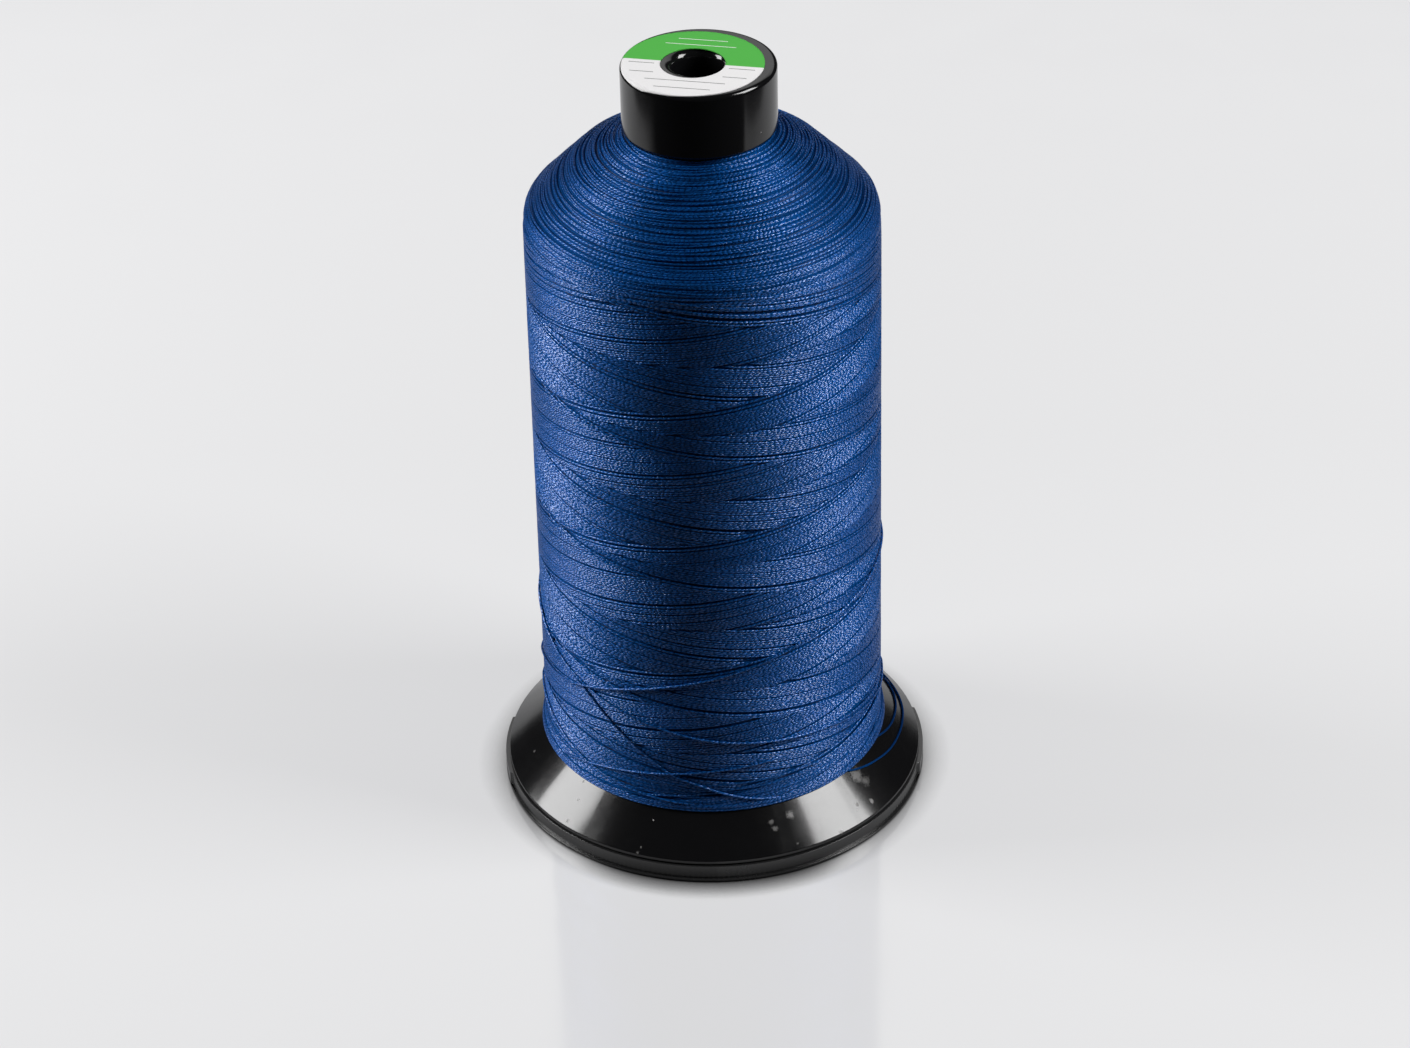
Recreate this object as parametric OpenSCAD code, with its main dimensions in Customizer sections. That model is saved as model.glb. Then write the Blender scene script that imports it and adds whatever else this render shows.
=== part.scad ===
// Flanged thread spool: a moulded barrel with a cone-shaped foot, a cap with the
// spindle bore, a base that clips into the foot, and a wound thread package.
// Lengths are in millimetres, +Z is up, and the origin is on the axis at the floor.

/* [Barrel] */
// Inside radius of the barrel
barrel_bore_r = 12; // [11.6:0.1:12.2]
// Outside radius of the barrel just under the cap
barrel_top_r = 13.4; // [13.2:0.1:13.8]
// Outside radius of the barrel where the flange meets it
barrel_low_r = 14.2; // [14:0.1:15]
// Height of the barrel's top edge, which carries the cap
barrel_top_z = 143.1; // [142:0.1:146]
// Height of the barrel's lower end, inside the base
barrel_low_z = 3.2; // [2.8:0.1:3.6]

/* [Flange] */
// Radius of the flange's outer edge
flange_r = 41.4; // [41:0.1:41.5]
// Height of the flange's lower edge above the floor
flange_z = 3.75; // [3.7:0.05:4]
// Thickness of the flange at its outer edge
flange_edge_t = 0.7; // [0.4:0.05:0.9]
// Slope of the flange's upper face above level, in degrees
flange_slope = 42; // [38:0.5:44]
// Wall thickness of the flange, measured square to its face
flange_wall = 1.6; // [1.2:0.1:2]
// Outside radius of the skirt that stands on the base
skirt_r = 38.2; // [37:0.1:38.6]
// Wall thickness of the skirt
skirt_wall = 1.4; // [1:0.1:1.8]
// Number of webs between the barrel and the skirt
web_count = 8; // [4:1:12]
// Thickness of each web
web_t = 1.2; // [0.8:0.1:1.6]

/* [Cap] */
// Outside radius of the cap
cap_r = 14.4; // [14:0.1:14.6]
// Height of the cap's flat top
cap_top_z = 155.65; // [153:0.05:158]
// Rounding of the cap's upper edge
cap_edge_round = 0.9; // [0.5:0.1:1.2]
// Rounding of the cap's lower edge
cap_low_round = 0.5; // [0.2:0.1:0.6]
// Thickness of the cap's top
cap_top_t = 2.6; // [2:0.1:3]
// Thickness of the cap's outer wall
cap_wall = 1.8; // [1.5:0.1:1.9]
// Length of the plug that is pressed into the barrel
plug_l = 8.4; // [6:0.1:10]
// Wall thickness of the plug
plug_wall = 1.5; // [1.2:0.1:1.7]
// Radius of the spindle bore
spindle_r = 4.75; // [4:0.05:5]
// Rounding of the spindle bore's mouth
spindle_lip = 1.65; // [0.6:0.05:1.8]
// Wall thickness of the sleeve round the spindle bore
sleeve_wall = 1.6; // [1.2:0.1:1.8]
// Height of the sleeve's lower end
sleeve_low_z = 141; // [139:0.1:143]
// Number of webs between the sleeve and the plug
cap_web_count = 6; // [3:1:8]

/* [Label] */
// Outside radius of the paper label
label_r = 13.1; // [12.5:0.1:13.2]
// Radius of the hole in the label
label_hole_r = 6; // [5.5:0.1:6.2]
// Thickness of the paper
label_t = 0.15; // [0.1:0.05:0.3]
// How far the label is stuck off the axis, to the left
label_off_x = -1; // [-1:0.05:0]
// How far the label is stuck off the axis, to the front
label_off_y = -0.6; // [-0.6:0.05:0]

/* [Base] */
// Radius of the base over its grip ribs
base_r = 41.8; // [41.6:0.05:42]
// Height of the base's rim
rim_h = 3.45; // [3.2:0.05:3.6]
// Thickness of the base's rim
rim_wall = 2.1; // [1.6:0.1:2.2]
// Radius over the two smooth finger lugs
lug_r = 42.2; // [42.1:0.05:43]
// Width of each finger lug, in degrees
lug_angle = 26; // [20:1:40]
// Number of grip ribs on each side of the rim
grip_count = 112; // [60:1:140]
// Depth of the grooves between the grip ribs
grip_depth = 0.1; // [0.05:0.05:0.3]
// How far the lip at the foot of the rim stands out past the lugs
lip_d = 0.05; // [0.05:0.05:0.3]
// Height of the lip at the foot of the rim
lip_h = 0.7; // [0.5:0.1:1.2]
// Width of the ring that the base stands on
foot_w = 4.5; // [4.3:0.1:6]
// Height of the base's plate above the floor
plate_z = 0.6; // [0.3:0.1:0.8]
// Height of the plate's upper face, which carries the skirt
seat_z = 2.2; // [2:0.1:2.5]
// Running gap between the base's hub and the barrel's bore
hub_gap = 0.08; // [0.05:0.01:0.1]
// Wall thickness of the hub
hub_wall = 1.5; // [1.2:0.1:1.8]
// Height of the hub's upper end
hub_top_z = 20.5; // [19:0.1:22]
// Number of spring fingers on the hub
finger_count = 6; // [4:1:8]
// Width of the slots between the spring fingers
finger_slot = 1.6; // [1:0.1:2]
// Height at which the slots begin
finger_z = 9; // [6:0.5:12]
// How far the catches stand out from the hub
catch_d = 0.4; // [0.2:0.05:0.5]
// Height of each catch
catch_h = 1.4; // [1:0.1:2]
// How far the base slides down when it is opened
release_travel = 3; // [2:0.1:4]

/* [Thread package] */
// Radius of the package below its shoulder
package_top_r = 33.4; // [31:0.05:34]
// Radius of the package at the flange
package_low_r = 33.7; // [31:0.05:34.5]
// Height at which the thread meets the barrel under the cap
package_neck_z = 142.3; // [141:0.1:142.8]
// Radius halfway down the shoulder
shoulder_r = 23.4; // [21:0.1:25]
// Height halfway down the shoulder
shoulder_z = 136.5; // [134:0.1:138]
// Height at which the shoulder would meet the straight side
corner_z = 126.5; // [122:0.1:130]
// Rounding between the shoulder and the straight side
corner_round = 5; // [3:0.5:9]

/* [Outer turns] */
// Number of turns in the modelled outer layer
turn_count = 24; // [8:1:24]
// Diameter of the modelled turn
turn_d = 0.8; // [0.5:0.1:1]
// Diameter of the slack turns that lie on the flange
slack_d = 0.4; // [0.4:0.05:0.6]

/* [Hidden] */
$fn = 96;

gloss_black = [0.06, 0.06, 0.065];
satin_black = [0.2, 0.2, 0.21];
paper_green = [0.31, 0.74, 0.29];
thread_blue = [0.12, 0.27, 0.5];
turn_blue = [0.2, 0.38, 0.66];

// Enough to make a cut pass clean through a face
over = 1;
// How far a web is sunk into the walls that it joins
web_root = 0.3;

/* ---- Flange ---- */
flange_drop = tan(flange_slope);
flange_wall_z = flange_wall / cos(flange_slope);
flange_top_edge_z = flange_z + flange_edge_t;
function flange_top_z(r) = flange_top_edge_z + (flange_r - r) * flange_drop;
function flange_under_z(r) = flange_top_z(r) - flange_wall_z;
flange_flat_r = flange_r - (flange_wall_z - flange_edge_t) / flange_drop;
skirt_in_r = skirt_r - skirt_wall;
web_outer_z = seat_z + 2.4;
web_inner_z = 12;

// Room above the catches in the barrel's groove, at rest and at full travel
catch_play = 0.15;
catch_r = barrel_bore_r - hub_gap + catch_d;
catch_top_z = hub_top_z - 0.7;
catch_low_z = catch_top_z - catch_h;
groove_r = catch_r + 0.15;
groove_top_z = catch_top_z + catch_play;
groove_low_z = catch_low_z - release_travel - catch_play;

// Outside radius of the barrel at a height: the barrel is drafted
barrel_foot_z = flange_top_z(barrel_low_r);
function barrel_r(z) =
    barrel_top_r + (barrel_low_r - barrel_top_r) * (barrel_top_z - z) / (barrel_top_z - barrel_foot_z);

module ring_section(inner, outer, low, high) {
    translate([inner, low]) square([outer - inner, high - low]);
}

module spool_barrel() {
    color(gloss_black) difference() {
        union() {
            rotate_extrude() barrel_section();
            rotate_extrude() flange_section();
            for (i = [0 : web_count - 1]) rotate([0, 0, i * 360 / web_count]) flange_web();
        }
        rotate_extrude() ring_section(barrel_bore_r - over, groove_r, groove_low_z, groove_top_z);
    }
}

module barrel_section() {
    polygon([
        [barrel_bore_r, barrel_low_z],
        [barrel_low_r, barrel_low_z],
        [barrel_low_r, barrel_foot_z],
        [barrel_top_r, barrel_top_z],
        [barrel_bore_r, barrel_top_z]
    ]);
}

module flange_section() {
    polygon([
        [barrel_low_r - web_root, flange_top_z(barrel_low_r)],
        [barrel_low_r, flange_top_z(barrel_low_r)],
        [flange_r, flange_top_edge_z],
        [flange_r, flange_z],
        [flange_flat_r, flange_z],
        [skirt_r, flange_under_z(skirt_r)],
        [skirt_r, seat_z],
        [skirt_in_r, seat_z],
        [skirt_in_r, flange_under_z(skirt_in_r)],
        [barrel_low_r - web_root, flange_under_z(barrel_low_r - web_root)]
    ]);
}

// One upright web under the flange, its lower edge rising towards the barrel
module flange_web() {
    translate([0, web_t / 2, 0]) rotate([90, 0, 0]) linear_extrude(web_t) polygon([
        [barrel_low_r - web_root, web_inner_z],
        [skirt_in_r + web_root, web_outer_z],
        [skirt_in_r + web_root, flange_under_z(skirt_in_r + web_root) + web_root],
        [barrel_low_r - web_root, flange_under_z(barrel_low_r - web_root) + web_root]
    ]);
}

/* ---- Cap ---- */
arc_steps = 8;
function arc(cx, cy, r, from, to) = [
    for (i = [0 : arc_steps]) let (a = from + (to - from) * i / arc_steps) [cx + r * cos(a), cy + r * sin(a)]
];
cap_low_z = barrel_top_z;
cap_under_z = cap_top_z - cap_top_t;
cap_in_r = cap_r - cap_wall;
plug_in_r = barrel_bore_r - plug_wall;
plug_low_z = cap_low_z - plug_l;
plug_chamfer = 0.6;
plug_step_z = cap_low_z + 1.6;
sleeve_r = spindle_r + sleeve_wall;
cap_web_t = 1.2;

module top_cap() {
    color(gloss_black) {
        rotate_extrude() cap_section();
        for (i = [0 : cap_web_count - 1]) rotate([0, 0, i * 360 / cap_web_count]) cap_web();
    }
}

module cap_section() {
    polygon(concat(
        arc(spindle_r + spindle_lip, cap_top_z - spindle_lip, spindle_lip, 180, 90),
        arc(cap_r - cap_edge_round, cap_top_z - cap_edge_round, cap_edge_round, 90, 0),
        arc(cap_r - cap_low_round, cap_low_z + cap_low_round, cap_low_round, 0, -90),
        [
            [barrel_bore_r, cap_low_z],
            [barrel_bore_r, plug_low_z + plug_chamfer],
            [barrel_bore_r - plug_chamfer, plug_low_z],
            [plug_in_r, plug_low_z],
            [plug_in_r, plug_step_z],
            [cap_in_r, plug_step_z],
            [cap_in_r, cap_under_z],
            [sleeve_r, cap_under_z],
            [sleeve_r, sleeve_low_z],
            [spindle_r, sleeve_low_z]
        ]
    ));
}

// One upright web under the cap's top, stepped where the plug's wall gives way to the cap's
module cap_web() {
    translate([0, cap_web_t / 2, 0]) rotate([90, 0, 0]) linear_extrude(cap_web_t) polygon([
        [sleeve_r - web_root, sleeve_low_z + over],
        [plug_in_r + web_root, sleeve_low_z + over],
        [plug_in_r + web_root, plug_step_z - web_root],
        [cap_in_r + web_root, plug_step_z - web_root],
        [cap_in_r + web_root, cap_under_z + web_root],
        [sleeve_r - web_root, cap_under_z + web_root]
    ]);
}

/* ---- Label ---- */
module top_label() {
    color(paper_green) translate([label_off_x, label_off_y, cap_top_z]) linear_extrude(label_t) difference() {
        circle(label_r);
        circle(label_hole_r);
    }
}

/* ---- Base ---- */
hub_r = barrel_bore_r - hub_gap;
hub_in_r = hub_r - hub_wall;
hub_chamfer = 0.8;
rim_in_r = base_r - rim_wall;
lip_r = lug_r + lip_d;
lip_chamfer = 0.3;
grip_angle = 180 - lug_angle;
grip_step = grip_angle / grip_count;

module snap_base() {
    color(satin_black) {
        rim();
        rotate_extrude() lip_section();
        difference() {
            rotate_extrude() base_section();
            for (i = [0 : finger_count - 1]) rotate([0, 0, (i + 0.5) * 360 / finger_count]) finger_gap();
        }
    }
}

// One side's toothed outline, from the end of one lug to the start of the other
function grip_points(start) = [
    for (i = [0 : grip_count - 1], tooth = [0, 1])
        let (a = start + (i + 0.25 + tooth / 2) * grip_step, r = base_r - grip_depth * tooth)
        [r * cos(a), r * sin(a)]
];

function lug_points(middle) = [
    for (i = [0 : lug_angle]) let (a = middle - lug_angle / 2 + i) [lug_r * cos(a), lug_r * sin(a)]
];

// The rim: two ribbed sides with a smooth finger lug between them at each end,
// standing on a thin lip that runs all the way round
module rim() {
    linear_extrude(rim_h) difference() {
        polygon(concat(
            lug_points(0),
            grip_points(lug_angle / 2),
            lug_points(180),
            grip_points(180 + lug_angle / 2)
        ));
        circle(rim_in_r);
    }
}

module lip_section() {
    polygon([
        [rim_in_r, 0],
        [lip_r - lip_chamfer, 0],
        [lip_r, lip_chamfer],
        [lip_r, lip_h],
        [rim_in_r, lip_h]
    ]);
}

// Plate, foot ring and hub, with the catches that hold the base in the barrel
module base_section() {
    polygon([
        [hub_in_r + hub_chamfer, plate_z],
        [rim_in_r + over - foot_w, plate_z],
        [rim_in_r + over - foot_w, 0],
        [rim_in_r + over, 0],
        [rim_in_r + over, seat_z],
        [hub_r, seat_z],
        [hub_r, catch_low_z],
        [catch_r, catch_low_z + catch_d / 2],
        [catch_r, catch_top_z - catch_d],
        [hub_r, catch_top_z],
        [hub_r - catch_d, hub_top_z],
        [hub_in_r, hub_top_z],
        [hub_in_r, plate_z + hub_chamfer]
    ]);
}

module finger_gap() {
    translate([hub_in_r - over, -finger_slot / 2, finger_z])
        cube([hub_wall + catch_d + 2 * over, finger_slot, hub_top_z - finger_z + over]);
}

/* ---- Tubes swept along points ---- */
function unit(v) = v / norm(v);
function tangent(p, i) = unit(p[min(i + 1, len(p) - 1)] - p[max(i - 1, 0)]);
function ring(centre, along, r, sides) =
    let (side = unit(cross(along, [0, 0, 1])), up = cross(side, along))
    [for (k = [0 : sides - 1]) centre + r * (cos(k * 360 / sides) * side + sin(k * 360 / sides) * up)];

module tube(p, r, sides) {
    last = len(p) - 1;
    polyhedron(
        points = [for (i = [0 : last]) each ring(p[i], tangent(p, i), r, sides)],
        faces = concat(
            [for (k = [1 : sides - 2]) [0, k, k + 1]],
            [
                for (i = [0 : last - 1], k = [0 : sides - 1])
                    let (a = i * sides + k, b = i * sides + (k + 1) % sides)
                    each [[a, a + sides, b], [b, a + sides, b + sides]]
            ],
            [for (k = [1 : sides - 2]) [last * sides, last * sides + k + 1, last * sides + k]]
        )
    );
}

/* ---- Thread package ---- */
// The package's outline from the neck to the flange, as radius and height
corner_slope = atan((shoulder_z - corner_z) / (package_top_r - shoulder_r));
corner_drop = corner_round * tan((90 - corner_slope) / 2);
package_line = concat(
    [[barrel_r(package_neck_z), package_neck_z], [shoulder_r, shoulder_z]],
    arc(package_top_r - corner_round, corner_z - corner_drop, corner_round, 90 - corner_slope, 0),
    [[package_low_r, flange_top_z(package_low_r)]]
);

function line_normal(a, b) = unit([a[1] - b[1], b[0] - a[0]]);
function inset_point(p, i, d) =
    let (
        before = line_normal(p[max(i - 1, 0)], p[max(i, 1)]),
        after = line_normal(p[min(i, len(p) - 2)], p[min(i + 1, len(p) - 1)])
    )
    p[i] - d * (before + after) / (1 + before * after);
function inset(p, d) = [for (i = [0 : len(p) - 1]) inset_point(p, i, d)];

// A turn is drawn with straight pieces, which dip towards the axis between their ends
rings_per_turn = 24;
turn_sides = 6;
turn_dip = package_low_r * (1 - cos(180 / rings_per_turn));
// How far the turns are pressed into the winding under them
turn_press = 0.28;
core_inset = turn_d + turn_dip - turn_press;
core_line = inset(package_line, core_inset);
core_last = core_line[len(core_line) - 1];
core_neck_z = package_neck_z - core_inset;

module thread_package() {
    color(thread_blue) rotate_extrude() polygon(concat(
        [[barrel_r(core_neck_z), core_neck_z]],
        [for (i = [1 : len(core_line) - 2]) core_line[i]],
        [
            [core_last[0], flange_top_z(core_last[0])],
            [barrel_low_r, barrel_foot_z]
        ]
    ));
}

/* ---- Outer turns ---- */
// The turns' middle line, with its length counted from the neck
turn_line = inset(package_line, turn_d / 2);
turn_steps = [for (i = [1 : len(turn_line) - 1]) norm(turn_line[i] - turn_line[i - 1])];
function length_to(i) = i == 0 ? 0 : length_to(i - 1) + turn_steps[i - 1];
radius_at = [for (i = [0 : len(turn_line) - 1]) [length_to(i), turn_line[i][0]]];
height_at = [for (i = [0 : len(turn_line) - 1]) [length_to(i), turn_line[i][1]]];
turn_start = 2.4;
turn_end = length_to(len(turn_line) - 1) - 1.6;
turn_rings = turn_count * rings_per_turn;

function turn_point(i) =
    let (
        s = turn_start + (turn_end - turn_start) * i / turn_rings,
        a = i * 360 / rings_per_turn,
        r = lookup(s, radius_at)
    )
    [r * cos(a), r * sin(a), lookup(s, height_at)];

turns = [for (i = [0 : turn_rings]) turn_point(i)];
shoulder_normal = line_normal(package_line[0], package_line[1]);
first_out = [shoulder_normal[0], 0, shoulder_normal[1]];
last_out = unit([turns[turn_rings][0], turns[turn_rings][1], 0]);
turn_path = concat(
    [turns[0] - first_out * turn_d],
    turns,
    [turns[turn_rings] - last_out * turn_d]
);

// Least gap between the turns, measured between rings at least half a turn apart
half_turn = rings_per_turn / 2;
turn_gap = min([
    for (i = [0 : turn_rings - half_turn], j = [i + half_turn : min(turn_rings, i + 2 * rings_per_turn)])
        norm(turns[i] - turns[j])
]) - turn_d;
echo(least_gap_between_turns = turn_gap);

module outer_turns() {
    color(turn_blue) tube(turn_path, turn_d / 2, turn_sides);
}

/* ---- Slack turns ---- */
// Two turns that slipped off the package's lower edge and lie on the flange.
// Each point is a radius and a bearing, counted from the front towards the right.
slack_a_route = [
    [32.4, 65], [33.3, 67.5], [34.1, 71], [34.8, 75], [35.4, 79], [35.9, 83], [36.3, 87], [36.7, 91],
    [37.1, 95], [37.4, 99], [37.6, 103], [37.7, 107], [37.6, 111], [37.3, 115], [36.7, 119],
    [35.9, 123], [34.9, 126.5], [33.8, 129.5], [32.4, 132]
];
slack_b_route = [
    [32.4, 44], [33.4, 47], [34.3, 50.5], [35, 54.5], [35.6, 59], [36.1, 63.5], [36.6, 68], [37, 72.5],
    [37.3, 77], [37.6, 81.5], [37.9, 86], [38.2, 90.5], [38.5, 95], [38.7, 99.5], [38.8, 104],
    [38.8, 108.5], [38.6, 113], [38.2, 117.5], [37.5, 122], [36.5, 126.5], [35.3, 130.5],
    [33.9, 134], [32.4, 136.5]
];
slack_sides = 8;
slack_rest = slack_d / 2 / cos(flange_slope);
function on_flange(p) = [p[0] * sin(p[1]), -p[0] * cos(p[1]), flange_top_z(p[0]) + slack_rest];
function smooth(p) = [
    for (i = [0 : len(p) - 1])
        each i == len(p) - 1 || i == 0 || i == len(p) - 2
            ? [p[i]]
            : [p[i], (9 * (p[i] + p[i + 1]) - p[i - 1] - p[i + 2]) / 16]
];

module slack_turn_a() {
    color(turn_blue) tube(smooth([for (p = slack_a_route) on_flange(p)]), slack_d / 2, slack_sides);
}

module slack_turn_b() {
    color(turn_blue) tube(smooth([for (p = slack_b_route) on_flange(p)]), slack_d / 2, slack_sides);
}

spool_barrel();
top_cap();
snap_base();
top_label();
thread_package();
outer_turns();
slack_turn_a();
slack_turn_b();
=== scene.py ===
"""Dresses a flanged thread spool: plastics, paper label, cross-wound thread, stage.

Laid out as an add-on and run as a script. Lengths are in metres, in the frame of
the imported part: +Z up, the origin on the axis at the floor, the front at -Y.
"""

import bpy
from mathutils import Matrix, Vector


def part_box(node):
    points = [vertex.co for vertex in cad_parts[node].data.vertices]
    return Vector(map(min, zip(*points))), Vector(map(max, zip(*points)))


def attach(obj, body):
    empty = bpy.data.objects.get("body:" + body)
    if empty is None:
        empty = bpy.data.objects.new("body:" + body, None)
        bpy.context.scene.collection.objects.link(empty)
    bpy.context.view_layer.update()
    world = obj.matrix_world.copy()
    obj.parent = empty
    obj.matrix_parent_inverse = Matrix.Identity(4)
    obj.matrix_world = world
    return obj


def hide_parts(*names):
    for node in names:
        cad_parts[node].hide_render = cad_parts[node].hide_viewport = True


bl_info = {
    "name": "Thread Spool",
    "version": (1, 0, 0),
    "blender": (4, 5, 0),
    "location": "View3D > Sidebar > Spool",
    "description": "Finishes a thread spool: mouldings, label, winding, loose turns and stage",
    "category": "Object",
}

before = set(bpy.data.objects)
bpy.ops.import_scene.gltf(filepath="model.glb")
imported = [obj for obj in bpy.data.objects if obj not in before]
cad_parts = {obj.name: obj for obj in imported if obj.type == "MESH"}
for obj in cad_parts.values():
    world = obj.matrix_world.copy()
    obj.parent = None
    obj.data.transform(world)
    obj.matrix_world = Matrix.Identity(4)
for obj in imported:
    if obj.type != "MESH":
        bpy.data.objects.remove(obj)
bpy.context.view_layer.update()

from collections import namedtuple
from math import atan2, cos, pi, radians, sin, sqrt, tan

import bmesh
import bpy
import numpy as np
from bpy.props import FloatProperty, FloatVectorProperty, IntProperty, PointerProperty
from mathutils import Matrix, Vector

MM = 0.001

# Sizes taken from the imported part
FLANGE_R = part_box("spool_barrel")[1].x
CAP_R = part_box("top_cap")[1].x
CAP_TOP_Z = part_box("top_cap")[1].z
PACKAGE_LOW_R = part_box("outer_turns")[1].x
LABEL_LOW, LABEL_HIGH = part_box("top_label")

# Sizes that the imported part's boxes don't give, the same as in its source
FLANGE_EDGE_TOP_Z = 4.45 * MM
FLANGE_SLOPE = radians(42)
CAP_EDGE_ROUND = 0.9 * MM
LABEL_HOLE_R = 6 * MM
PACKAGE_TOP_R = 33.4 * MM
NECK_R, NECK_Z = 13.4 * MM, 142.3 * MM
FOOT_BULGE = 0.75 * MM
SHOULDER_R, SHOULDER_Z = 23.4 * MM, 136.5 * MM
CORNER_Z = 126.5 * MM
CORNER_ROUND = 5 * MM
SLACK_D = 0.4 * MM


def flange_z(radius):
    """Height of the flange's upper face."""
    return FLANGE_EDGE_TOP_Z + (FLANGE_R - radius) * tan(FLANGE_SLOPE)


def on_flange(bearing, radius, above=0.0):
    """A point above the flange's upper face, from a bearing in degrees and a radius in mm."""
    turn, radius = radians(bearing), radius * MM
    return Vector((radius * sin(turn), -radius * cos(turn), flange_z(radius) + above))


# ---------------------------------------------------------------- settings

def length(name, description, default):
    """A size in metres, shown in the sidebar in the scene's own units."""
    return FloatProperty(
        name=name, description=description, default=default, min=0.0, precision=5, unit="LENGTH"
    )


def share(name, description, default):
    """A share from 0 to 1."""
    return FloatProperty(
        name=name, description=description, default=default, min=0.0, max=1.0, subtype="FACTOR"
    )


def angle(name, description, default):
    """An angle in radians, shown in degrees."""
    return FloatProperty(
        name=name, description=description, default=default, subtype="ANGLE", unit="ROTATION"
    )


def number(name, description, default, least=0):
    """A whole number."""
    return IntProperty(name=name, description=description, default=default, min=least)


def colour(name, description, default):
    """A linear colour."""
    return FloatVectorProperty(
        name=name, description=description, default=default, size=3, min=0.0, max=1.0, subtype="COLOR"
    )


class SPOOL_PG_thread(bpy.types.PropertyGroup):
    """Sizes and colours of the thread and of the way it is wound."""

    diameter: length("Diameter", "Thickness of the sewing thread", 0.41 * MM)
    lead: length("Lead", "Height that a stroke climbs in one turn", 28.8 * MM)
    strokes: number("Double strokes", "Strokes up and down in the outer layer", 61, 8)
    low_end: length("Lower reversal", "Height at which the strokes turn round at the flange", 10.15 * MM)
    bearing: angle("Bearing", "Bearing at which the newest strokes cross", radians(-64))
    steps: number("Steps", "Straight pieces in one turn of the thread", 96, 12)
    sides: number("Sides", "Sides of the thread's section", 6, 3)
    ply_lay: length("Lay", "Length in which the plies go round once", 1.9 * MM)
    plies: number("Plies", "Plies twisted into the thread", 2, 2)
    dye: colour("Dye", "Colour of the thread", (0.001, 0.138, 0.55))
    # Painted shade: the dye darkened in the valleys between the plies
    valley_shade: colour("Valley shade", "Colour between the plies", (0.0003, 0.012, 0.04))
    lustre: share("Lustre", "Strength of the thread's gloss", 1.0)
    sheen: share("Coloured sheen", "Share of the dye that shows as sheen along the fibres", 0.6)
    seed: number("Seed", "Seed of the winding's small irregularities", 7)


class SPOOL_PG_mouldings(bpy.types.PropertyGroup):
    """Finish of the three black mouldings."""

    gloss_black: colour("Gloss black", "Colour of the barrel and the cap", (0.0045, 0.0045, 0.005))
    satin_black: colour("Satin black", "Colour of the base", (0.017, 0.017, 0.0175))
    barrel_roughness: share("Barrel roughness", "Roughness of the flange", 0.15)
    cap_roughness: share("Cap roughness", "Roughness of the cap", 0.09)
    base_roughness: share("Base roughness", "Roughness of the base", 0.22)
    edge: length("Edge radius", "Rounding of the mouldings' sharp edges", 0.12 * MM)


class SPOOL_PG_label(bpy.types.PropertyGroup):
    """Colours and layout of the paper label."""

    band: colour("Band", "Colour of the rear part", (0.075, 0.47, 0.058))
    paper: colour("Paper", "Colour of the bare paper", (0.9, 0.89, 0.895))
    ink: colour("Ink", "Colour of the ruled lines", (0.05, 0.05, 0.055))
    band_edge: length("Band edge", "Where the band ends, behind the label's middle", 0.1 * MM)
    band_tilt: angle("Band tilt", "Turn of the band's edge from left to right", radians(-12.1))


class SPOOL_PG_stage(bpy.types.PropertyGroup):
    """Floor, lights and camera."""

    floor: colour("Floor", "Colour of the floor", (0.98, 0.98, 1.0))
    matt_floor: share("Shadow depth", "Share of the lamps' light that the floor gives back", 0.27)
    floor_glow: share("Floor glow", "Light that the floor shows besides the lamps'", 0.46)
    # Reach of the painted contact shadow at the foot
    contact: length("Contact", "Reach of the dark line where something stands on the floor", 6 * MM)
    left_power: FloatProperty(name="Left light", description="Power of the left soft box", default=4.4)
    right_power: FloatProperty(name="Right light", description="Power of the right soft box", default=4.15)
    lens: FloatProperty(name="Lens", description="Focal length of the camera in millimetres", default=99.93)


# ---------------------------------------------------------------- scene helpers

def new_object(name, mesh):
    """Puts a mesh in the scene under a name."""
    mesh.name = name
    made = bpy.data.objects.new(name, mesh)
    bpy.context.scene.collection.objects.link(made)
    return made


def baked(host, name):
    """A plain mesh object of what a host's modifiers make. The host is removed."""
    graph = bpy.context.evaluated_depsgraph_get()
    mesh = bpy.data.meshes.new_from_object(
        host.evaluated_get(graph), preserve_all_data_layers=True, depsgraph=graph
    )
    bpy.data.objects.remove(host)
    return new_object(name, mesh)


def closed_shell(name, sections, upright=0.0):
    """A shell through a round of closed sections, smooth where a normal's Z reaches upright."""
    shell = bmesh.new()
    rings = [[shell.verts.new(point) for point in section] for section in sections]
    for ring, after in zip(rings, rings[1:] + rings[:1]):
        for i in range(len(ring)):
            shell.faces.new((ring[i - 1], after[i - 1], after[i], ring[i]))
    bmesh.ops.recalc_face_normals(shell, faces=shell.faces)
    for face in shell.faces:
        face.smooth = abs(face.normal.z) >= upright
    mesh = bpy.data.meshes.new(name)
    shell.to_mesh(mesh)
    shell.free()
    return new_object(name, mesh)


def seat(piece, body, slot, *nodes):
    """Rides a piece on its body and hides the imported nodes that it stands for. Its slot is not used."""
    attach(piece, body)
    if nodes:
        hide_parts(*nodes)


# ---------------------------------------------------------------- node helpers

FLOAT, VECTOR = "NodeSocketFloat", "NodeSocketVector"
SHARED = {}


def feed(tree, node, inputs):
    """Links a node's inputs to other sockets, or sets them to constants."""
    for key, value in inputs.items():
        if isinstance(value, bpy.types.NodeSocket):
            tree.links.new(value, node.inputs[key])
        else:
            node.inputs[key].default_value = value


def add(tree, kind, inputs=None, **settings):
    """A new node with some of its settings and inputs."""
    node = tree.nodes.new(kind)
    for key, value in settings.items():
        setattr(node, key, value)
    feed(tree, node, inputs or {})
    return node


def maths(tree, operation, a, b=None, clamp=False):
    """One Math node and its output."""
    inputs = {0: a} if b is None else {0: a, 1: b}
    return add(tree, "ShaderNodeMath", inputs, operation=operation, use_clamp=clamp).outputs[0]


def times(tree, a, *others):
    """The product of all that is given."""
    for other in others:
        a = maths(tree, "MULTIPLY", a, other)
    return a


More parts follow.
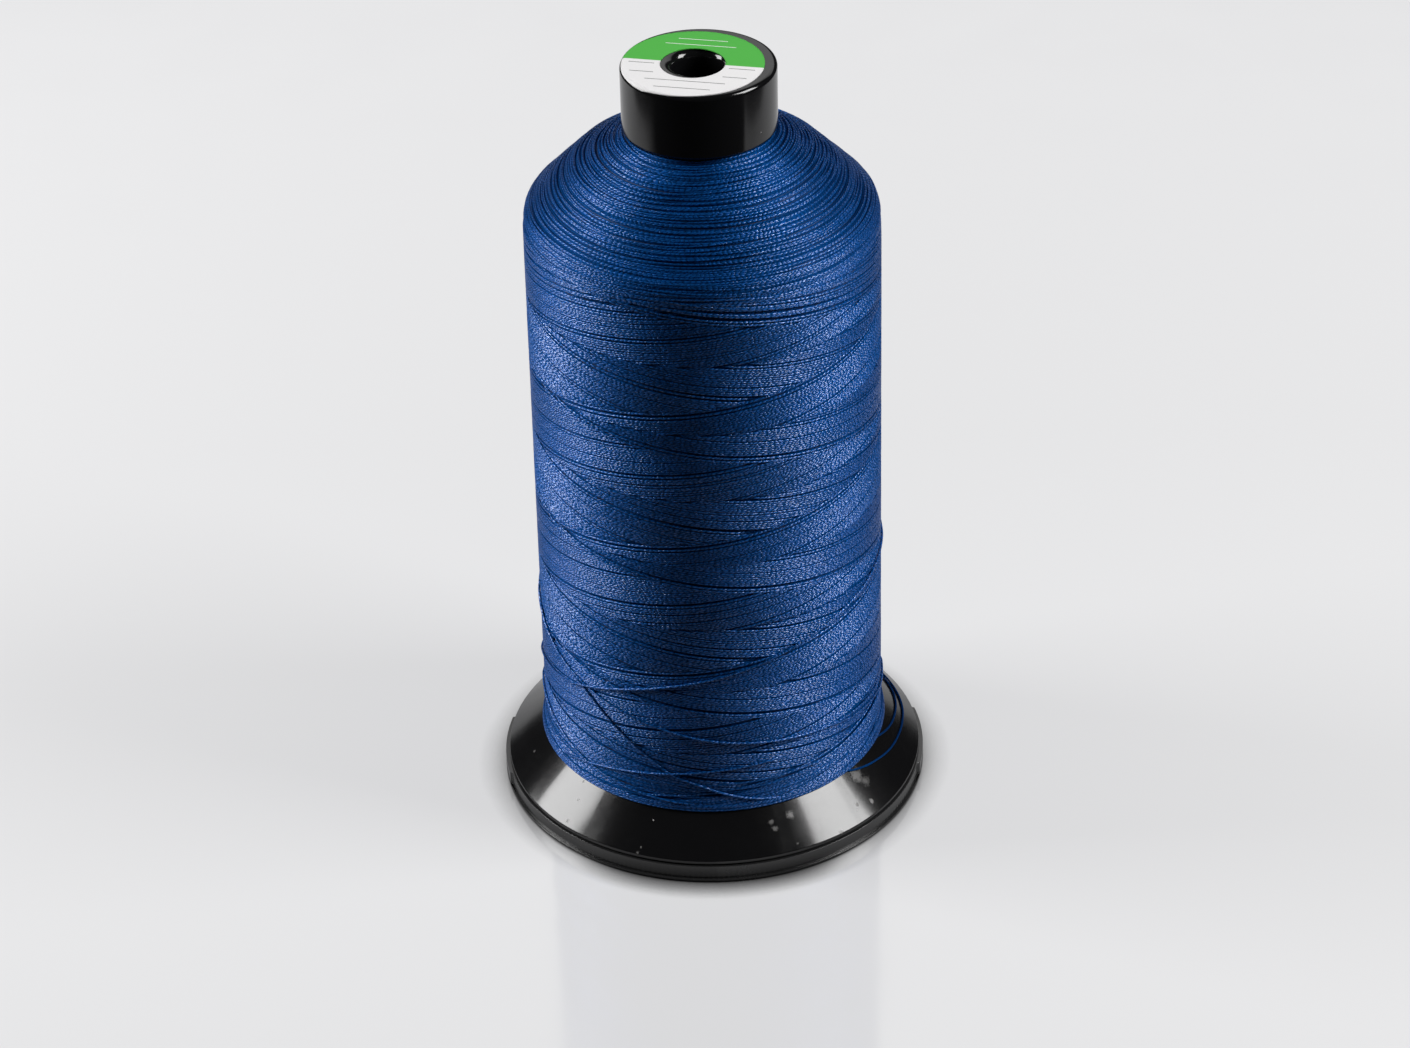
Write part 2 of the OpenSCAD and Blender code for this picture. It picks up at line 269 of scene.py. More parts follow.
def span(tree, value, low, high, to_low=0.0, to_high=1.0, smooth=False):
    """One Map Range node and its output."""
    return add(
        tree, "ShaderNodeMapRange",
        {"Value": value, "From Min": low, "From Max": high, "To Min": to_low, "To Max": to_high},
        clamp=True, interpolation_type="SMOOTHSTEP" if smooth else "LINEAR",
    ).outputs["Result"]


def blend_colour(tree, factor, a, b, how="MIX"):
    """One colour Mix node and its output."""
    inputs = {"Factor": factor, 6: a, 7: b}
    return add(tree, "ShaderNodeMix", inputs, data_type="RGBA", blend_type=how).outputs[2]


def place(tree):
    """The Object coordinates."""
    return add(tree, "ShaderNodeTexCoord").outputs["Object"]


def split(tree, vector):
    """The outputs X, Y and Z of a vector."""
    return add(tree, "ShaderNodeSeparateXYZ", {0: vector}).outputs


def attribute(tree, name, output="Fac"):
    """A named attribute of the mesh."""
    return add(tree, "ShaderNodeAttribute", attribute_name=name).outputs[output]


def noise(tree, scale, detail, rough, vector=None):
    """One Noise Texture node and its factor. Its scale is about its grains in a metre."""
    inputs = {"Vector": vector or place(tree), "Scale": scale, "Detail": detail, "Roughness": rough}
    return add(tree, "ShaderNodeTexNoise", inputs).outputs["Fac"]


def bump(tree, height, strength, distance):
    """One Bump node and its normal."""
    inputs = {"Height": height, "Strength": strength, "Distance": distance}
    return add(tree, "ShaderNodeBump", inputs).outputs["Normal"]


def opaque(rgb):
    """A colour as the four values of a colour socket."""
    return (*rgb, 1.0)


def material(name):
    """A new material with its tree and its Principled node."""
    made = bpy.data.materials.new(name)
    made.use_nodes = True
    return made, made.node_tree, made.node_tree.nodes["Principled BSDF"]


def group(name, inputs, outputs):
    """An empty shader node group with its input node and its output node."""
    tree = bpy.data.node_groups.new(name, "ShaderNodeTree")
    for label, kind, default in inputs:
        socket = tree.interface.new_socket(label, in_out="INPUT", socket_type=kind)
        if default is not None:
            socket.default_value = default
    for label in outputs:
        tree.interface.new_socket(label, in_out="OUTPUT", socket_type=FLOAT)
    return tree, add(tree, "NodeGroupInput").outputs, add(tree, "NodeGroupOutput")


def use(tree, effect, **values):
    """The outputs of a shared effect, which is built the first time that it is used."""
    if effect not in SHARED:
        SHARED[effect] = effect()
    return add(tree, "ShaderNodeGroup", values, node_tree=SHARED[effect]).outputs


# ---------------------------------------------------------------- shared effects

def moulded_skin():
    """The faint waviness of a moulded skin, and the rubbed patches that change its gloss."""
    tree, given, out = group(
        "Moulded skin",
        [("Roughness", FLOAT, 0.1), ("Variation", FLOAT, 0.05), ("Wave", FLOAT, 1.0)],
        ["Roughness", "Height"],
    )
    rubbed = span(tree, noise(tree, 90.0, 3.0, 0.6), 0.4, 0.75)
    streak = span(tree, noise(tree, 900.0, 2.0, 0.5), 0.45, 0.7)
    change = maths(tree, "ADD", times(tree, rubbed, 0.7), times(tree, streak, 0.3))
    change = times(tree, change, given["Variation"])
    feed(tree, out, {
        "Roughness": maths(tree, "ADD", given["Roughness"], change),
        "Height": times(tree, noise(tree, 260.0, 1.0, 0.4), given["Wave"]),
    })
    return tree


def dust():
    """Sparse grains of dust as a mask from 0 to 1."""
    tree, given, out = group("Dust", [("Scale", FLOAT, 900.0), ("Amount", FLOAT, 0.008)], ["Mask"])
    cells = add(tree, "ShaderNodeTexVoronoi", {"Vector": place(tree), "Scale": given["Scale"]}).outputs
    chosen = add(tree, "ShaderNodeSeparateColor", {0: cells["Color"]}).outputs
    here = maths(tree, "LESS_THAN", chosen[0], given["Amount"])
    size = span(tree, chosen[1], 0.0, 1.0, 0.06, 0.2)
    feed(tree, out, {"Mask": times(tree, here, maths(tree, "LESS_THAN", cells["Distance"], size))})
    return tree


def smudge():
    """One irregular fleck round a point, as a mask."""
    tree, given, out = group(
        "Smudge",
        [("Position", VECTOR, None), ("Radius", FLOAT, 0.3 * MM), ("Strength", FLOAT, 1.0)],
        ["Mask"],
    )
    points = {0: place(tree), 1: given["Position"]}
    distance = add(tree, "ShaderNodeVectorMath", points, operation="DISTANCE").outputs["Value"]
    frayed = span(tree, noise(tree, 1500.0, 4.0, 0.75), 0.3, 0.7, 0.35, 1.7)
    share_out = maths(tree, "DIVIDE", distance, times(tree, frayed, given["Radius"]))
    inside = span(tree, share_out, 1.2, 0.2, smooth=True)
    feed(tree, out, {"Mask": times(tree, inside, given["Strength"])})
    return tree


def ply_twist():
    """The rope-like surface of a plied thread: its height, its valleys and its glints.

    It reads two attributes of a thread's mesh: lay, the length along the thread in
    metres, and around, the cosine and sine of the place round its section.
    """
    tree, given, out = group(
        "Ply twist",
        [("Plies", FLOAT, 2.0), ("Lay", FLOAT, 1.9 * MM), ("Fibre", FLOAT, 0.35)],
        ["Height", "Depth", "Glint"],
    )
    along = attribute(tree, "lay")
    around = split(tree, attribute(tree, "around", "Vector"))
    place_round = maths(tree, "ARCTAN2", around["Y"], around["X"])
    turns = maths(tree, "DIVIDE", along, given["Lay"])
    # Neighbouring threads are out of step by an amount that drifts along them
    level = {"Vector": place(tree), "Scale": (1.0, 1.0, 9.0)}
    level = add(tree, "ShaderNodeMapping", level).outputs["Vector"]
    turns = maths(tree, "ADD", turns, times(tree, noise(tree, 190.0, 1.0, 0.5, level), 1.6))
    phase = maths(tree, "ADD", place_round, times(tree, turns, 2 * pi, given["Plies"]))
    ridge = maths(tree, "ABSOLUTE", maths(tree, "SINE", times(tree, phase, 0.5)))
    fibres = times(tree, noise(tree, 9000.0, 2.0, 0.7), given["Fibre"])
    # Short lengths of a ply that glint: a mask for the gloss, also painted into the thread's colour as
    # glints
    along_only = {"W": along, "Scale": 750.0, "Detail": 2.0}
    dash = add(tree, "ShaderNodeTexNoise", along_only, noise_dimensions="1D").outputs["Fac"]
    feed(tree, out, {
        "Height": maths(tree, "ADD", ridge, fibres),
        "Depth": maths(tree, "SUBTRACT", 1.0, span(tree, ridge, 0.1, 0.9), clamp=True),
        "Glint": span(tree, dash, 0.38, 0.62),
    })
    return tree


# ---------------------------------------------------------------- materials

DUST_GREY = (0.3, 0.29, 0.28, 1.0)
# Colour of thread in painted shade, where it lies deep
THREAD_IN_SHADE = (0.0006, 0.009, 0.045, 1.0)
FIBRE_SHEEN = (0.02, 0.3, 1.0, 1.0)
# Colours of the packed core: the dye darkened by painted shade, darker between its rows
PACKED_SHADE_TONES = (0.001, 0.02, 0.09, 1.0), (0.002, 0.045, 0.18, 1.0)

# Flecks of dust on the flange: bearing in degrees, distance from the axis and size in mm, strength
FLANGE_FLECKS = (
    (17.0, 36.5, 0.55, 0.35), (17.7, 37.6, 0.6, 0.35), (23.5, 36.2, 0.75, 0.4), (22.9, 40.5, 0.3, 0.2),
    (52.0, 35.4, 1.5, 0.3), (53.5, 36.8, 1.2, 0.2), (50.7, 39.7, 0.5, 0.5), (45.5, 38.9, 0.4, 0.35),
    (36.3, 41.2, 0.5, 0.3), (-75.9, 37.2, 0.35, 0.3), (-21.5, 40.3, 0.3, 0.35), (-21.9, 41.2, 0.35, 0.3),
    (-48.8, 34.6, 0.3, 0.5), (-46.7, 37.2, 0.3, 0.3), (-46.1, 40.6, 0.35, 0.4), (140.0, 37.0, 0.4, 0.3),
)


def moulded_plastic(
    name, tone, roughness, variation, wave, dust_scale=900.0, dust_amount=0.008, flecks=(), shine=0.5
):
    """A black moulded plastic with its skin and its dust."""
    made, tree, surface = material(name)
    skin = use(tree, moulded_skin, Roughness=roughness, Variation=variation, Wave=wave)
    grains = use(tree, dust, Scale=dust_scale, Amount=dust_amount)["Mask"]
    for bearing, radius, size, strength in flecks:
        spot = on_flange(bearing, radius)
        fleck = use(tree, smudge, Position=spot, Radius=size * MM, Strength=strength)["Mask"]
        grains = maths(tree, "MAXIMUM", grains, fleck)
    height = maths(tree, "ADD", skin["Height"], times(tree, grains, 2.0))
    feed(tree, surface, {
        "Base Color": blend_colour(tree, grains, opaque(tone), DUST_GREY),
        "Roughness": maths(tree, "ADD", skin["Roughness"], times(tree, grains, 0.6), clamp=True),
        "Normal": bump(tree, height, 0.35, 0.02 * MM),
        "Specular IOR Level": shine,
    })
    return made


def thread_finish(name, settings):
    """Dyed and twisted thread, darkened by painted shade where it lies deep (attribute shade).

    Its fibres run along the thread (attribute way), so its coloured sheen is narrow
    that way and wide across. A clear gloss glints on top of the plies. Its colour holds
    painted shade between the plies and painted glints on them.
    """
    made, tree, surface = material(name)
    twist = use(tree, ply_twist, Plies=float(settings.plies), Lay=settings.ply_lay)
    deep = attribute(tree, "shade")
    patch = span(tree, noise(tree, 60.0, 3.0, 0.6), 0.3, 0.75, 0.0, 0.12)
    # Painted glints: the colour darkens where a ply doesn't glint
    painted_glint_shade = times(tree, maths(tree, "SUBTRACT", 1.0, twist["Glint"]), 0.5)
    low = maths(tree, "MAXIMUM", twist["Depth"], painted_glint_shade)
    valley = maths(tree, "ADD", low, patch, clamp=True)
    # Painted shade in the valleys between the plies and where a ply doesn't glint
    body = blend_colour(tree, valley, opaque(settings.dye), opaque(settings.valley_shade))
    relief = bump(tree, twist["Height"], 1.0, 0.06 * MM)
    dull = maths(tree, "MAXIMUM", twist["Depth"], deep)
    gloss = span(tree, dull, 0.0, 0.7, settings.lustre, 0.0)
    glint = span(tree, twist["Glint"], 0.0, 1.0, 0.45, 1.0)
    feed(tree, surface, {
        # Painted shade where the thread lies deep or under another
        "Base Color": blend_colour(tree, deep, body, THREAD_IN_SHADE),
        "Metallic": settings.sheen,
        "Roughness": 0.72,
        "IOR": 2.2,
        "Specular IOR Level": 1.0,
        "Specular Tint": FIBRE_SHEEN,
        "Anisotropic": 0.72,
        "Anisotropic Rotation": 0.25,
        "Tangent": attribute(tree, "way", "Vector"),
        "Normal": relief,
        "Coat Normal": relief,
        "Coat Roughness": 0.22,
        "Coat IOR": 2.0,
        "Coat Weight": times(tree, gloss, glint),
    })
    return made


def packed_thread(name, settings):
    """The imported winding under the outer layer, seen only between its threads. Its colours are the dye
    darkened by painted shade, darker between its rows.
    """
    made, tree, surface = material(name)
    rows = add(tree, "ShaderNodeTexWave", {
        "Vector": place(tree),
        # The wave texture's bands are 2 pi / 20 of its unit apart
        "Scale": 2 * pi / 20.0 / settings.diameter,
        "Distortion": 1.5,
        "Detail": 2.0,
    }, wave_type="BANDS", bands_direction="Z").outputs["Fac"]
    feed(tree, surface, {
        "Base Color": blend_colour(tree, rows, *PACKED_SHADE_TONES),
        "Roughness": span(tree, rows, 0.0, 1.0, 0.8, 0.6),
        "Normal": bump(tree, rows, 0.8, 0.1 * MM),
    })
    return made


# Ruled lines on the label, in mm from its middle: how far back, half the length, to the right
RULED_IN_FRONT = (
    (-1.1, 2.4, -9.3), (-1.1, 2.4, 9.3), (-4.6, 2.2, -8.6), (-4.6, 2.2, 8.6),
    (-7.3, 7.4, 0.0), (-10.1, 5.2, 0.0),
)
RULED_BEHIND = ((9.6, 4.6, 0.0), (7.4, 6.6, 0.0))
RULE_HALF_WIDTH = 0.09 * MM


def label_paper(name, settings, middle):
    """Printed paper: a plain coloured band behind and ruled lines to write on in front."""
    made, tree, surface = material(name)
    at = split(tree, add(tree, "ShaderNodeMapping", {
        "Vector": place(tree),
        "Location": (middle.x, middle.y, 0.0),
        "Rotation": (0.0, 0.0, settings.band_tilt),
    }, vector_type="TEXTURE").outputs["Vector"])
    blur = 0.04 * MM
    band = span(tree, at["Y"], settings.band_edge - blur, settings.band_edge + blur)
    base = blend_colour(tree, band, opaque(settings.paper), opaque(settings.band))

    def near(value, goal, reach):
        """1 where a value is within reach of its goal."""
        offset = maths(tree, "ABSOLUTE", maths(tree, "SUBTRACT", value, goal))
        return maths(tree, "LESS_THAN", offset, reach)

    for rules, tone in ((RULED_IN_FRONT, settings.ink), (RULED_BEHIND, settings.paper)):
        for back, half_length, right in rules:
            across = near(at["X"], right * MM, half_length * MM)
            mark = times(tree, across, near(at["Y"], back * MM, RULE_HALF_WIDTH))
            base = blend_colour(tree, mark, base, opaque(tone))
    tooth = noise(tree, 4000.0, 4.0, 0.6)
    shade = span(tree, tooth, 0.3, 0.7, 0.94, 1.0)
    feed(tree, surface, {
        "Base Color": blend_colour(tree, 1.0, base, shade, "MULTIPLY"),
        "Roughness": span(tree, tooth, 0.3, 0.7, 0.42, 0.55),
        "Normal": bump(tree, tooth, 0.25, 0.01 * MM),
    })
    return made


# ---------------------------------------------------------------- stage

CAMERA_AT = Vector((0.0, -641.11, 473.04)) * MM
CAMERA_RIGHT = Vector((0.99972, -0.01206, -0.0205))
CAMERA_AHEAD = Vector((-0.00108, 0.83802, -0.54564))
SENSOR = 36.0
LIGHT_DISTANCE = 0.7
FLOOR_HALF = 1.5
DARK_TABLE = (0.02, 0.02, 0.02, 1.0)
# The pale sheet that the spool mirrors: where its sides fade, how it narrows to the front,
# where it ends in front and where it is whole behind that, on the right and on the left
SHEET_SIDE_END, SHEET_SIDE, SHEET_TAPER = 308 * MM, 301 * MM, 0.14
SHEET_FRONT_END, SHEET_RIGHT, SHEET_LEFT = -126 * MM, -102 * MM, -15 * MM
# How strongly the painted contact shadow at the foot darkens, beside the spool and in front
CONTACT_BESIDE, CONTACT_FRONT = 1.7, 5.2
# The mirrored back wall: direction of its middle, reach of its fade, light of room and wall
WALL_UP, WALL_END, WALL_WHOLE = 0.58, 0.24, 0.14
ROOM_LIGHT, WALL_LIGHT = 0.015, 0.9


def make_camera(settings):
    """The camera, from its place, the way it looks and its right-hand side."""
    data = bpy.data.cameras.new("Camera")
    data.sensor_width = SENSOR
    data.lens = settings.lens
    data.clip_start = 0.01
    camera = bpy.data.objects.new("Camera", data)
    bpy.context.scene.collection.objects.link(camera)
    back = -CAMERA_AHEAD.normalized()
    right = (CAMERA_RIGHT - back * CAMERA_RIGHT.dot(back)).normalized()
    turn = Matrix((right, back.cross(right), back)).transposed()
    camera.matrix_world = Matrix.Translation(CAMERA_AT) @ turn.to_4x4()
    bpy.context.scene.camera = camera


def soft_box(name, bearing, rise, width, tall, power):
    """A rectangular soft box that faces the spool, placed and sized by angles in degrees."""
    data = bpy.data.lights.new(name, "AREA")
    data.shape = "RECTANGLE"
    data.size = 2 * LIGHT_DISTANCE * tan(radians(width) / 2)
    data.size_y = 2 * LIGHT_DISTANCE * tan(radians(tall) / 2)
    data.energy = power
    light = bpy.data.objects.new(name, data)
    bpy.context.scene.collection.objects.link(light)
    bearing, rise = radians(bearing), radians(rise)
    away = Vector((sin(bearing) * cos(rise), -cos(bearing) * cos(rise), sin(rise)))
    light.location = Vector((0.0, 0.0, FLANGE_EDGE_TOP_Z)) + away * LIGHT_DISTANCE
    light.rotation_euler = away.to_track_quat("Z", "Y").to_euler()


def mirrored_sheet(tree, at):
    """A mask of the pale sheet that the spool mirrors: it ends at the sides and in front."""
    corner = times(tree, maths(tree, "MINIMUM", at["Y"], 0.0), -SHEET_TAPER)
    edge = maths(tree, "ADD", maths(tree, "ABSOLUTE", at["X"]), corner)
    aside = span(tree, edge, SHEET_SIDE_END, SHEET_SIDE, smooth=True)
    left = maths(tree, "LESS_THAN", at["X"], 0.0)
    near = span(tree, left, 0.0, 1.0, SHEET_RIGHT, SHEET_LEFT)
    return times(tree, aside, span(tree, at["Y"], SHEET_FRONT_END, near, smooth=True))


def contact_shade(tree, at, reach):
    """The painted contact shadow where something stands on the floor: its ambient occlusion, made deep in
    front and faint beside.
    """
    contact = add(tree, "ShaderNodeAmbientOcclusion", {"Distance": reach}, samples=8)
    level = add(tree, "ShaderNodeCombineXYZ", {"X": at["X"], "Y": at["Y"]}).outputs["Vector"]
    way = add(tree, "ShaderNodeVectorMath", {0: level}, operation="NORMALIZE").outputs["Vector"]
    depth = span(tree, split(tree, way)["Y"], -0.76, -0.97, CONTACT_BESIDE, CONTACT_FRONT, smooth=True)
    return maths(tree, "POWER", contact.outputs["AO"], depth)


def floor_finish(settings):
    """A pale, slightly glossy floor that stays bright to the camera and keeps shadows.

    What the spool mirrors is a pale sheet on a dark table. A painted contact shadow darkens the floor where
    something stands on it.
    """
    made, tree, surface = material("pale_floor")
    path = add(tree, "ShaderNodeLightPath").outputs
    seen, glossy = path["Is Camera Ray"], path["Is Glossy Ray"]
    at = split(tree, place(tree))
    sheet = mirrored_sheet(tree, at)
    painted_contact_shadow = contact_shade(tree, at, settings.contact)
    shown = maths(tree, "ADD", seen, times(tree, sheet, 0.8), clamp=True)
    pale = opaque([settings.matt_floor] * 3)
    glowing = maths(tree, "ADD", seen, times(tree, glossy, sheet, 0.95), clamp=True)
    # Painted light: the floor glows a little more further back
    far = span(tree, at["Y"], 120 * MM, 360 * MM, settings.floor_glow, settings.floor_glow * 1.14)
    feed(tree, surface, {
        "Base Color": blend_colour(tree, times(tree, shown, painted_contact_shadow), DARK_TABLE, pale),
        "Roughness": span(tree, noise(tree, 40.0, 3.0, 0.5), 0.3, 0.7, 0.08, 0.12),
        "Specular IOR Level": times(tree, seen, 0.98),
        "Emission Color": opaque(settings.floor),
        "Emission Strength": times(tree, glowing, painted_contact_shadow, far),
    })
    return made


class SPOOL_OT_stage(bpy.types.Operator):
    """Adds the camera, the two soft boxes, the world and the floor"""

    bl_idname = "spool.stage"
    bl_label = "Stage"

    def execute(self, context):
        settings = context.scene.spool_stage
        make_camera(settings)
        soft_box("Left soft box", -96.5, 33, 22.6, 30, settings.left_power)
        soft_box("Right soft box", 78.5, 43, 21.5, 27, settings.right_power)
        mesh = bpy.data.meshes.new("floor")
        corners = [(-1, -1), (1, -1), (1, 1), (-1, 1)]
        mesh.from_pydata([(x * FLOOR_HALF, y * FLOOR_HALF, 0) for x, y in corners], [], [(0, 1, 2, 3)])
        mesh.materials.append(floor_finish(settings))
        new_object("floor", mesh)
        self.light_world(context.scene)
        context.scene.view_settings.view_transform = "Standard"
        return {"FINISHED"}

    def light_world(self, scene):
        """A dark room whose pale back wall is only mirrored."""
        world = bpy.data.worlds.new("Studio")
        world.use_nodes = True
        tree = world.node_tree
        path = add(tree, "ShaderNodeLightPath").outputs
        way = split(tree, add(tree, "ShaderNodeTexCoord").outputs["Generated"])
        behind = span(tree, way["Y"], 0.55, 0.7, smooth=True)
        level = maths(tree, "ABSOLUTE", maths(tree, "SUBTRACT", way["Z"], WALL_UP))
        wall = times(tree, behind, span(tree, level, WALL_END, WALL_WHOLE, smooth=True))
        mirrored = times(tree, path["Is Glossy Ray"], wall)
        glow = maths(tree, "ADD", times(tree, path["Is Camera Ray"], 0.9), mirrored, clamp=True)
        feed(tree, tree.nodes["Background"], {
            "Color": (1.0, 1.0, 1.0, 1.0),
            "Strength": span(tree, glow, 0.0, 1.0, ROOM_LIGHT, WALL_LIGHT),
        })
        scene.world = world


# ---------------------------------------------------------------- package outline

def package_outline():
    """The package's outline from the flange to the neck, as radius and height."""
    slope = atan2(SHOULDER_Z - CORNER_Z, PACKAGE_TOP_R - SHOULDER_R)
    drop = CORNER_ROUND * tan((pi / 2 - slope) / 2)
    centre_r, centre_z = PACKAGE_TOP_R - CORNER_ROUND, CORNER_Z - drop
    bend = np.linspace(0, pi / 2 - slope, 13)
    foot_r = PACKAGE_LOW_R + FOOT_BULGE
    foot_z = flange_z(foot_r)
    points = [(foot_r, foot_z), (foot_r - 0.1 * MM, foot_z + 1.2 * MM), (PACKAGE_LOW_R, foot_z + 4 * MM)]
    points += [(centre_r + CORNER_ROUND * cos(a), centre_z + CORNER_ROUND * sin(a)) for a in bend]
    points += [(SHOULDER_R, SHOULDER_Z), (NECK_R, NECK_Z)]
    return np.array(points)


class Outline:
    """The package's outline, read by the distance run along it from the flange to the neck."""

    STEP = 0.25 * MM
    # Steps over which the outward direction is evened out
    EVEN = 9
    # How much higher the winding stands against the cap at the right and in front, in mm
    RIGHT_BEARING, RIGHT_RISE, FRONT_RISE = radians(88), 0.9, 0.5

    def __init__(self):
        corners = package_outline()
        run = np.concatenate([[0], np.cumsum(np.linalg.norm(np.diff(corners, axis=0), axis=1))])
        self.run = np.arange(0, run[-1], self.STEP)
        self.radius = np.interp(self.run, run, corners[:, 0])
        self.height = np.interp(self.run, run, corners[:, 1])
        rise, widen = np.gradient(self.height), np.gradient(self.radius)
        size = np.hypot(rise, widen)
        self.out_r, self.out_z = self.evened(rise / size), self.evened(-widen / size)
        # On the straight side the run is counted as the height above the floor
        self.run = self.run + corners[0, 1]

    def evened(self, values):
        """Values averaged over their neighbours."""
        padded = np.pad(values, self.EVEN // 2, mode="edge")
        return np.convolve(padded, np.ones(self.EVEN) / self.EVEN, "valid")

    def points(self, run, bearing, out):
        """Points at a run and a bearing, raised by out from the outline."""
        radius = np.interp(run, self.run, self.radius) + out * np.interp(run, self.run, self.out_r)
        height = np.interp(run, self.run, self.height) + out * np.interp(run, self.run, self.out_z)
        share_up = np.clip((height - SHOULDER_Z) / (NECK_Z - SHOULDER_Z), 0, 1)
        right, front = np.cos(bearing - self.RIGHT_BEARING).clip(0, 1), np.cos(bearing).clip(0, 1)
        height = height + share_up * MM * (self.RIGHT_RISE * right + self.FRONT_RISE * front)
        return np.stack([radius * np.sin(bearing), -radius * np.cos(bearing), height], axis=-1)


# ---------------------------------------------------------------- threads

def thread_tree():
    """The geometry tree that gives every chain of edges the round section of a thread."""
    tree = bpy.data.node_groups.new("Thread tube", "GeometryNodeTree")
    for label, kind, direction in (
        ("Path", "NodeSocketGeometry", "INPUT"),
        ("Diameter", FLOAT, "INPUT"),
        ("Sides", "NodeSocketInt", "INPUT"),
        ("Finish", "NodeSocketMaterial", "INPUT"),
        ("Thread", "NodeSocketGeometry", "OUTPUT"),
    ):
        tree.interface.new_socket(label, in_out=direction, socket_type=kind)
    given, out = add(tree, "NodeGroupInput").outputs, add(tree, "NodeGroupOutput")
    line = add(tree, "GeometryNodeMeshToCurve", {"Mesh": given["Path"]})
    size = {"Resolution": given["Sides"], "Radius": times(tree, given["Diameter"], 0.5)}
    section = add(tree, "GeometryNodeCurvePrimitiveCircle", size, mode="RADIUS")
    kept = add(tree, "GeometryNodeCaptureAttribute", domain="POINT")
    kept.capture_items.new("FLOAT", "Place")
    where = add(tree, "GeometryNodeSplineParameter").outputs["Factor"]
    feed(tree, kept, {"Geometry": section.outputs["Curve"], "Place": where})
    turn = times(tree, kept.outputs["Place"], 2 * pi)
    around = {"X": maths(tree, "COSINE", turn), "Y": maths(tree, "SINE", turn)}
    tube = add(tree, "GeometryNodeCurveToMesh", {
        "Curve": line.outputs["Curve"], "Profile Curve": kept.outputs["Geometry"], "Fill Caps": True,
    })
    made = add(tree, "GeometryNodeStoreNamedAttribute", {
        "Geometry": tube.outputs["Mesh"], "Name": "around",
        "Value": add(tree, "ShaderNodeCombineXYZ", around).outputs["Vector"],
    }, data_type="FLOAT_VECTOR", domain="POINT").outputs["Geometry"]
    for kind in ("GeometryNodeSetShadeSmooth", "GeometryNodeRealizeInstances"):
        made = add(tree, kind, {"Geometry": made}).outputs["Geometry"]
    dressed = {"Geometry": made, "Material": given["Finish"]}
    feed(tree, out, {"Thread": add(tree, "GeometryNodeSetMaterial", dressed).outputs["Geometry"]})
    return tree


def threads(name, chains, diameter, sides, finish):
    """One mesh of thread along each chain of points. A chain's fourth column is its shade."""
    sizes = [len(chain) for chain in chains]
    starts = np.cumsum([0] + sizes[:-1])
    edges = np.concatenate([
        np.stack([np.arange(start, start + size - 1), np.arange(start + 1, start + size)], axis=1)
        for start, size in zip(starts, sizes)
    ])
    along = np.concatenate([
        np.concatenate([[0], np.cumsum(np.linalg.norm(np.diff(chain[:, :3], axis=0), axis=1))])
        for chain in chains
    ])
    way = np.concatenate([np.gradient(chain[:, :3], axis=0) for chain in chains])
    way /= np.linalg.norm(way, axis=1)[:, None]
    points = np.concatenate(chains)
    mesh = bpy.data.meshes.new(name + "_line")
    mesh.from_pydata(points[:, :3].tolist(), edges.tolist(), [])
    for label, kind, field, values in (
        ("lay", "FLOAT", "value", along),
        ("shade", "FLOAT", "value", points[:, 3]),
        ("way", "FLOAT_VECTOR", "vector", way.ravel()),
    ):
        mesh.attributes.new(label, kind, "POINT").data.foreach_set(field, values.astype(np.float32))
    host = new_object(name + "_line", mesh)
    tree = bpy.data.node_groups.get("Thread tube") or thread_tree()
    maker = host.modifiers.new("Thread tube", "NODES")
    maker.node_group = tree
    values = {"Diameter": diameter, "Sides": sides, "Finish": finish}
    for item in tree.interface.items_tree:
        if item.name in values:
            maker[item.identifier] = values[item.name]
    piece = baked(host, name)
    unroll(piece.data, along, diameter, sides)
    return piece


def whole_numbers(items, field):
    """The whole number that each item of a mesh holds in a field."""
    values = np.empty(len(items), np.int32)
    items.foreach_get(field, values)
    return values


def unroll(mesh, along, diameter, sides):
    """A map of the thread's surface, laid out in rows along the thread."""
    run = along + np.concatenate([[0], np.cumsum(np.diff(along).clip(None, 0) * -1)])
    rows = max(1, round(sqrt(run[-1] / (pi * diameter))))
    row_length = run[-1] / rows * 1.0001
    corner = whole_numbers(mesh.loops, "vertex_index")
    first = whole_numbers(mesh.polygons, "loop_start")
    size = whole_numbers(mesh.polygons, "loop_total")
    face = np.repeat(np.arange(len(first)), size)
    ring, side = corner // sides, (corner % sides).astype(float)
    low_ring = np.minimum.reduceat(ring, first)[face]
    # The face that closes the section runs from its last side to one past it
    wraps = (np.minimum.reduceat(side, first) == 0) & (np.maximum.reduceat(side, first) == sides - 1)
    side[(side == 0) & wraps[face] & (size[face] == 4)] = sides
    row = np.floor(run[low_ring] / row_length)
    across = (run[ring] - row * row_length) / (row_length * 1.01)
    # A row fills nine tenths of its height, so that rows don't touch
    up = (row + 0.05 + 0.9 * side / sides) / rows
    mapped = mesh.uv_layers.new(name="OFBake")
    mapped.data.foreach_set("uv", np.stack([across.clip(0, 1), up], axis=1).ravel().astype(np.float32))


def drifting(rng, count, reach):
    """A smooth random line of values near 0, whose bends are about reach apart."""
    knots = rng.normal(0, 1, count // reach + 4)
    values = np.interp(np.arange(count) / reach + 1, np.arange(len(knots)), knots)
    kernel = np.hanning(reach + 2)
    around = len(kernel)
    evened = np.convolve(np.pad(values, around, mode="edge"), kernel / kernel.sum(), "same")
    return evened[around:-around]


def shaded(points, shade):
    """Points with their shade as a fourth column, up to 1."""
    return np.column_stack([points, np.minimum(shade, 1.0)])


def out_of_ends(done, whole, reach):
    """0 at both ends of a line and 1 from reach on, for places done along the whole."""
    return np.minimum(1, np.minimum(done, whole - done) / reach)


